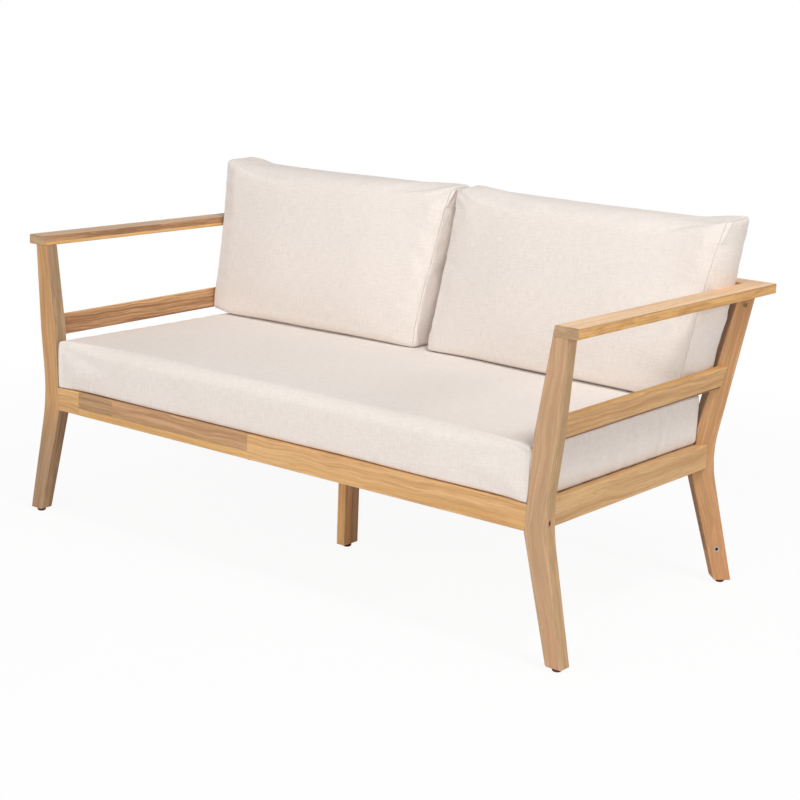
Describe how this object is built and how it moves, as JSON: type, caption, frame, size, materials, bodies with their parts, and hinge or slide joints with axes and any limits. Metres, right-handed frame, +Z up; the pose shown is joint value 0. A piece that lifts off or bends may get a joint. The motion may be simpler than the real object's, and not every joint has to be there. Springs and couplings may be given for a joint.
{
  "type": "patio loveseat",
  "caption": "Low hardwood patio loveseat with tapered legs, flat armrests, slatted seat frame, loose seat cushion and loose back cushions.",
  "frame": {"origin": "on the floor, in the middle of the frame's footprint", "axes": "+Z up, the seat faces -Y, +X to the right end as seen from the front"},
  "size_m": [1.455, 0.748, 0.7807],
  "materials": {
    "hardwood": "oiled",
    "linen": "woven",
    "zinc_steel": "satin",
    "brass": "satin",
    "glide": "matte"
  },
  "bodies": {
    "frame": {"armrest_right": "hardwood", "armrest_left": "hardwood", "back_top_rail": "hardwood", "front_leg_right": "hardwood", "front_leg_left": "hardwood", "back_leg_right": "hardwood", "back_leg_left": "hardwood", "seat_front_rail": "hardwood", "seat_side_rail_right": "hardwood", "seat_side_rail_left": "hardwood", "seat_back_rail": "hardwood", "arm_mid_rail_right": "hardwood", "arm_mid_rail_left": "hardwood", "back_mid_rail": "hardwood", "centre_beam": "hardwood", "slat_cleat_right": "hardwood", "slat_cleat_left": "hardwood", "seat_slat_1": "hardwood", "seat_slat_2": "hardwood", "seat_slat_3": "hardwood", "seat_slat_4": "hardwood", "seat_slat_5": "hardwood", "seat_slat_6": "hardwood", "seat_slat_7": "hardwood", "centre_leg": "hardwood", "head_block_right": "hardwood", "head_block_left": "hardwood", "slat_screws": "zinc_steel", "cleat_screws": "zinc_steel", "centre_leg_screws": "zinc_steel", "foot_inserts": "zinc_steel", "head_bolts": "brass", "glide_front_right": "glide", "glide_front_left": "glide", "glide_back_right": "glide", "glide_back_left": "glide", "glide_centre": "glide"},
    "seat_pad": {"seat_cushion": "linen"},
    "back_pad_right": {"back_cushion_right": "linen"},
    "back_pad_left": {"back_cushion_left": "linen"}
  },
  "joints": [
    {"name": "seat_cushion_lift", "type": "slide", "parent": "frame", "child": "seat_pad", "axis": [0, 0, 1], "range_m": [0, 0.45]},
    {"name": "back_cushion_right_lift", "type": "slide", "parent": "seat_pad", "child": "back_pad_right", "axis": [0, 0, 1], "range_m": [0, 0.4]},
    {"name": "back_cushion_left_lift", "type": "slide", "parent": "seat_pad", "child": "back_pad_left", "axis": [0, 0, 1], "range_m": [0, 0.4]}
  ]
}
